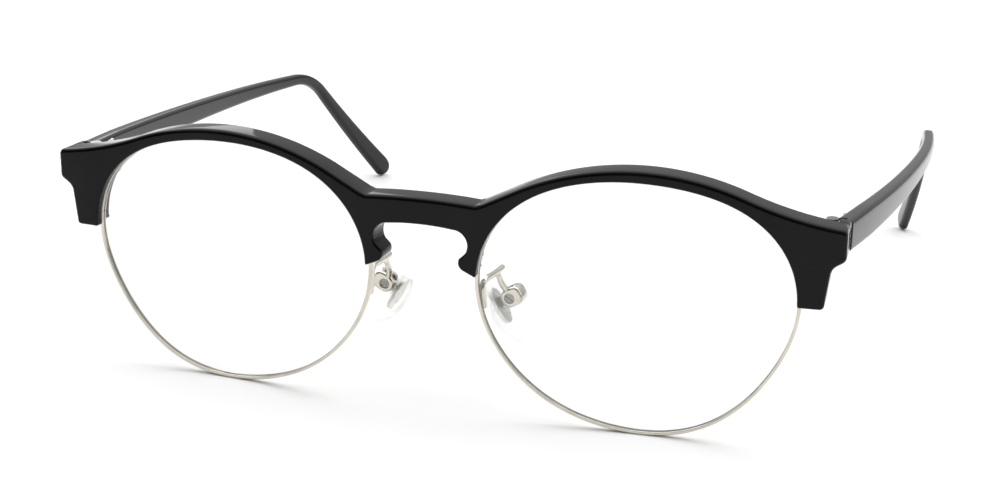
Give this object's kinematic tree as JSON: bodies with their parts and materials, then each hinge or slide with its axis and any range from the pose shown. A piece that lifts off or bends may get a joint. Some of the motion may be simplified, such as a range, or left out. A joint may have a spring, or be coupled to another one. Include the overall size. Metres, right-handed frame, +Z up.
{
  "type": "browline eyeglasses",
  "caption": "Folding browline eyeglasses: a black brow bar over wire rims with clear lenses, curved temples on hinges and rocking silicone nose pads.",
  "frame": {"origin": "on the floor, under the middle of the open glasses' bounding box", "axes": "+Z up as worn, -Y the way the wearer looks, +X towards the wearer's left ear; rims and temple tips stand on the floor"},
  "size_m": [0.1446, 0.1355, 0.0452],
  "materials": {
    "black_acetate": "polished black cellulose acetate",
    "nickel_silver": "polished nickel silver wire and sheet",
    "steel_screws": "turned steel, slightly dull",
    "insert_metal": "stamped, seen through the pad",
    "clear_lens": "clear, polished",
    "clear_silicone": "translucent, satin"
  },
  "bodies": {
    "front": {"brow_bar": "black_acetate", "rim_left": "nickel_silver", "rim_right": "nickel_silver", "closing_blocks_left": "nickel_silver", "closing_blocks_right": "nickel_silver", "closing_screw_left": "steel_screws", "closing_screw_right": "steel_screws", "brow_lug_left": "nickel_silver", "brow_lug_right": "nickel_silver", "brow_screw_left": "steel_screws", "brow_screw_right": "steel_screws", "lens_left": "clear_lens", "lens_right": "clear_lens", "pad_arm_left": "nickel_silver", "pad_arm_right": "nickel_silver", "pad_box_left": "nickel_silver", "pad_box_right": "nickel_silver", "pad_screw_left": "steel_screws", "pad_screw_right": "steel_screws", "hinge_front_leaf_left": "nickel_silver", "hinge_front_leaf_right": "nickel_silver", "hinge_front_rivets_left": "steel_screws", "hinge_front_rivets_right": "steel_screws", "hinge_screw_left": "steel_screws", "hinge_screw_right": "steel_screws"},
    "temple_left": {"temple_left": "black_acetate", "core_wire_left": "steel_screws", "hinge_temple_leaf_left": "nickel_silver", "hinge_temple_rivets_left": "steel_screws"},
    "temple_right": {"temple_right": "black_acetate", "core_wire_right": "steel_screws", "hinge_temple_leaf_right": "nickel_silver", "hinge_temple_rivets_right": "steel_screws"},
    "pad_left": {"pad_insert_left": "insert_metal", "nose_pad_left": "clear_silicone"},
    "pad_right": {"pad_insert_right": "insert_metal", "nose_pad_right": "clear_silicone"}
  },
  "joints": [
    {"name": "temple_fold_left", "type": "hinge", "parent": "front", "child": "temple_left", "pos_m": [-0.0657, -0.0566, 0.0358], "axis": [0, 0, -1], "range_deg": [0, 88.5]},
    {"name": "temple_fold_right", "type": "hinge", "parent": "front", "child": "temple_right", "pos_m": [0.0657, -0.0566, 0.0358], "axis": [0, 0, 1], "range_deg": [0, 83]},
    {"name": "pad_rock_left", "type": "hinge", "parent": "front", "child": "pad_left", "pos_m": [-0.01143, -0.05335, 0.01755], "axis": [0, 1, 0], "range_deg": [-12, 12]},
    {"name": "pad_rock_right", "type": "hinge", "parent": "front", "child": "pad_right", "pos_m": [0.01143, -0.05335, 0.01755], "axis": [0, 1, 0], "range_deg": [-12, 12]}
  ]
}
